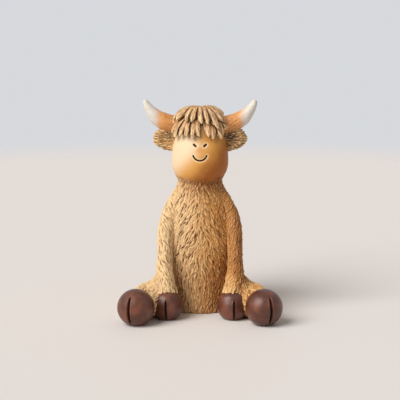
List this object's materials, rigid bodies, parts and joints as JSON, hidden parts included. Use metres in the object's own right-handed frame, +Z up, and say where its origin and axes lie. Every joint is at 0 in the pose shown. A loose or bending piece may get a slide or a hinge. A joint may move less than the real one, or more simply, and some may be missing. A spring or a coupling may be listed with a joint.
{
  "type": "cow figurine",
  "caption": "Seated long-haired cow ornament in painted cast resin, with carved coat, smooth smiling face, fringe, bowed horns and round cleft hooves; stands on its flat underside.",
  "frame": {"origin": "on the floor, under the middle of the torso's flat underside", "axes": "+Z up; the cow faces -Y; its left side is +X"},
  "size_m": [0.0758, 0.0694, 0.0998],
  "materials": {
    "coat": "matte paint, tan with a dark wash in the carved hair",
    "face": "smooth satin paint, cream shaded to tan",
    "hair": "matte paint, cream on the locks with a brown wash between",
    "ear": "matte paint, tan outside and brown inside",
    "horn": "satin paint, off-white running to tan at the root",
    "hoof": "satin dark brown paint"
  },
  "bodies": {
    "root": {"torso": "coat", "head": "face", "fringe_lower": "hair", "fringe_crown": "hair", "fringe_upper": "hair", "tail": "coat", "tail_tuft": "hair", "horn_left": "horn", "horn_right": "horn", "ear_left": "ear", "ear_right": "ear", "foreleg_left": "coat", "foreleg_right": "coat", "forehoof_left": "hoof", "forehoof_right": "hoof", "hindleg_left": "coat", "hindleg_right": "coat", "hindhoof_left": "hoof", "hindhoof_right": "hoof"}
  },
  "joints": []
}
